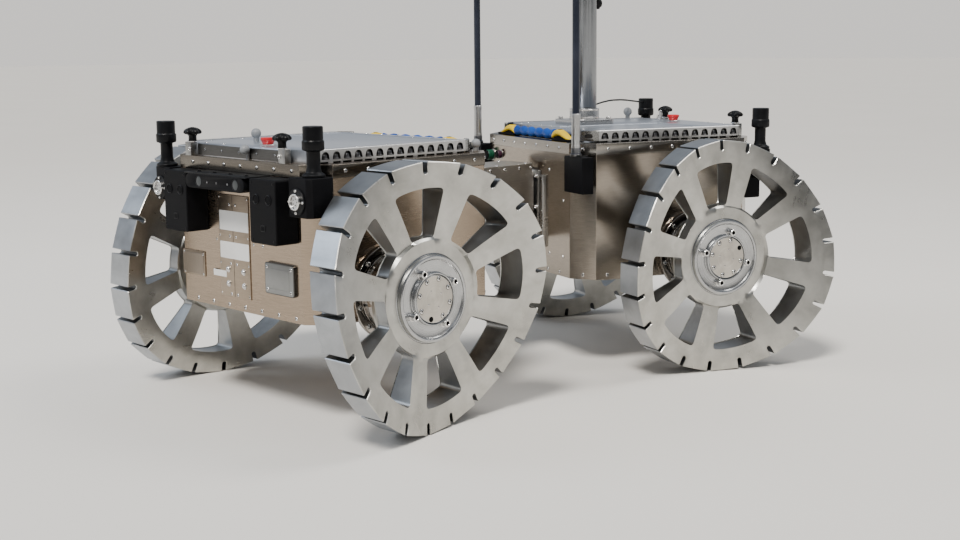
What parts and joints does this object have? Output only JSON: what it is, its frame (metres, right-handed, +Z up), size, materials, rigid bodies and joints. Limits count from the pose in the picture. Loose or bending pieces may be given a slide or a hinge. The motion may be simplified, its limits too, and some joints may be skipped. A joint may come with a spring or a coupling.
{
  "type": "planetary rover",
  "caption": "Articulated planetary rover: box modules joined at an upright pivot, on broad machined metal wheels with wavy slotted rims, with a sensor face, mast and whip antennas.",
  "frame": {"origin": "centre of the bounding box on the ground plane under the wheels", "axes": "+Z up; the front module looks along -Y; +X is the rover's left side; the rear module stands turned about the upright pivot"},
  "size_m": [0.8986, 1.3314, 1.054],
  "materials": {
    "black": "printed, matt",
    "body": "brushed sheet with a warm tint",
    "dark_metal": "matt black",
    "grip": "moulded blue with yellow ends",
    "rail": "machined",
    "drive": "polished",
    "hub": "turned",
    "steel": "satin",
    "plug": "green shell",
    "lid": "satin anodised",
    "ball": "satin grey",
    "mast": "anodised tube",
    "cable": "matt black",
    "red": "moulded",
    "wheel": "machined"
  },
  "bodies": {
    "rear_chassis": {"antenna_blocks": "black", "antennas": "black", "body_rear": "body", "carry_handle_rear": "grip", "corner_blocks_rear": "black", "corner_connectors_rear": "rail", "corner_posts_rear": "black", "drive_units_rear": "drive", "joint_frame": "steel", "joint_plugs": "plug", "joint_yoke": "steel", "lid_brackets_rear": "rail", "lid_knobs_rear": "black", "lid_latch": "rail", "lid_rails_rear": "rail", "lid_rear": "lid", "marker_balls_rear": "ball", "mast_base": "mast", "mast_cable": "cable", "mast_cap": "mast", "mast_socket": "mast", "mast_tube": "mast", "pivot_pin": "steel", "sensor_housings_rear": "black", "stop_button_rear": "red"},
    "front_chassis": {"body_front": "body", "camera_bracket": "dark_metal", "carry_handle_front": "grip", "corner_blocks_front": "black", "corner_connectors_front": "rail", "corner_posts_front": "black", "drive_units_front": "drive", "front_plates": "body", "joint_box": "body", "lid_brackets_front": "rail", "lid_front": "lid", "lid_knobs_front": "black", "lid_rails_front": "rail", "marker_balls_front": "ball", "pivot_barrel": "steel", "sensor_housings_front": "black", "stereo_camera": "black", "stop_button_front": "red"},
    "wheel_front_left": {"hub_front_left": "hub", "wheel_front_left": "wheel"},
    "wheel_front_right": {"hub_front_right": "hub", "wheel_front_right": "wheel"},
    "wheel_rear_left": {"hub_rear_left": "hub", "wheel_rear_left": "wheel"},
    "wheel_rear_right": {"hub_rear_right": "hub", "wheel_rear_right": "wheel"}
  },
  "joints": [
    {"name": "articulation", "type": "hinge", "parent": "front_chassis", "child": "rear_chassis", "pos_m": [-0.07034, 0.08385, 0.316], "axis": [0, 0, 1], "range_deg": [-5.4, 42.6]},
    {"name": "front_left_spin", "type": "hinge", "parent": "front_chassis", "child": "wheel_front_left", "pos_m": [0.27566, -0.44065, 0.225], "axis": [1, 0, 0], "continuous": true},
    {"name": "front_right_spin", "type": "hinge", "parent": "front_chassis", "child": "wheel_front_right", "pos_m": [-0.41634, -0.44065, 0.225], "axis": [1, 0, 0], "continuous": true},
    {"name": "rear_left_spin", "type": "hinge", "parent": "rear_chassis", "child": "wheel_rear_left", "pos_m": [0.34785, 0.24171, 0.225], "axis": [0.9478, -0.319, 0], "continuous": true},
    {"name": "rear_right_spin", "type": "hinge", "parent": "rear_chassis", "child": "wheel_rear_right", "pos_m": [-0.308, 0.46243, 0.225], "axis": [0.9478, -0.319, 0], "continuous": true}
  ]
}
